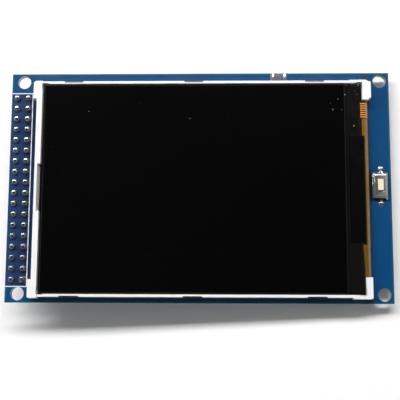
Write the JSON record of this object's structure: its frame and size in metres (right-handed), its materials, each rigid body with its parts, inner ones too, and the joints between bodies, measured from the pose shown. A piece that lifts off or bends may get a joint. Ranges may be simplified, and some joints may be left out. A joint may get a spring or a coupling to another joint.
{
  "type": "tft display module",
  "caption": "Colour display panel in a white frame on a blue circuit board, with a pin header behind its left end and a reset switch at its right end.",
  "frame": {"origin": "centre of the rectangle of four mounting holes, on the circuit board's back face", "axes": "+Z out of the screen, +X along the long side from the pin header to the reset switch, +Y towards the screen's upper edge"},
  "size_m": [0.0896, 0.0544, 0.0132],
  "materials": {
    "board_enamel": "glossy blue solder mask over glass laminate",
    "black_plastic": "moulded black plastic, satin",
    "gold_pin": "gold-flashed spring",
    "tray_steel": "thin stainless sheet",
    "solder": "bright solder",
    "tinned_metal": "tinned sheet metal",
    "spring_steel": "thin spring steel",
    "foam_tape": "soft double-sided tape",
    "white_frame": "white moulded plastic, slightly glossy",
    "reflector": "bright reflector film",
    "clear_guide": "clear acrylic sheet",
    "milky_film": "milky optical film",
    "black_tape": "thin black tape",
    "polyimide": "amber polyimide film",
    "led_package": "white diode package with yellow phosphor",
    "rear_film": "dark grey polarizing film",
    "ledge_glass": "dark glass",
    "screen_film": "black glare-free film over glass",
    "silicon": "bare silicon",
    "cream_plastic": "cream moulded plastic",
    "chip_black": "black resistor glaze",
    "chip_tan": "tan capacitor ceramic",
    "epoxy": "black moulded epoxy",
    "tantalum_epoxy": "yellow moulded epoxy"
  },
  "bodies": {
    "module": {"circuit_board": "board_enamel", "header_body": "black_plastic", "header_pins": "tinned_metal", "header_solder": "solder", "mounting_tape": "foam_tape", "backlight_tray": "tray_steel", "display_frame": "white_frame", "reflector_sheet": "reflector", "light_guide": "clear_guide", "diffuser_film": "milky_film", "prism_film_lower": "milky_film", "prism_film_upper": "milky_film", "backlight_flex": "polyimide", "backlight_leds": "led_package", "rim_tape": "black_tape", "rear_polarizer": "rear_film", "array_glass": "ledge_glass", "filter_glass": "ledge_glass", "front_polarizer": "screen_film", "driver_chip": "silicon", "driver_tape": "black_tape", "display_flex": "polyimide", "flex_solder": "solder", "switch_base": "black_plastic", "switch_cover": "tinned_metal", "switch_dome": "spring_steel", "switch_terminals": "tinned_metal", "switch_solder": "solder", "front_resistor": "chip_black", "front_resistor_caps": "tinned_metal", "front_resistor_solder": "solder", "card_socket_base": "black_plastic", "card_socket_shell": "tinned_metal", "card_socket_contacts": "gold_pin", "regulator_body": "epoxy", "regulator_leads": "tinned_metal", "buffer_body": "epoxy", "buffer_leads": "tinned_metal", "logic_body": "epoxy", "logic_leads": "tinned_metal", "transistor_body": "epoxy", "transistor_leads": "tinned_metal", "tantalum_bodies": "tantalum_epoxy", "tantalum_terminals": "tinned_metal", "chip_resistors": "chip_black", "chip_capacitors": "chip_tan", "chip_terminals": "tinned_metal", "chip_solder": "solder"},
    "reset_plunger": {"switch_plunger": "cream_plastic"}
  },
  "joints": [
    {"name": "reset_press", "type": "slide", "parent": "module", "child": "reset_plunger", "axis": [0, 0, -1], "range_m": [0, 0.00025], "stiffness_N_per_m": 4000, "springref_m": -0.00005, "deforming": ["switch_dome"]}
  ]
}
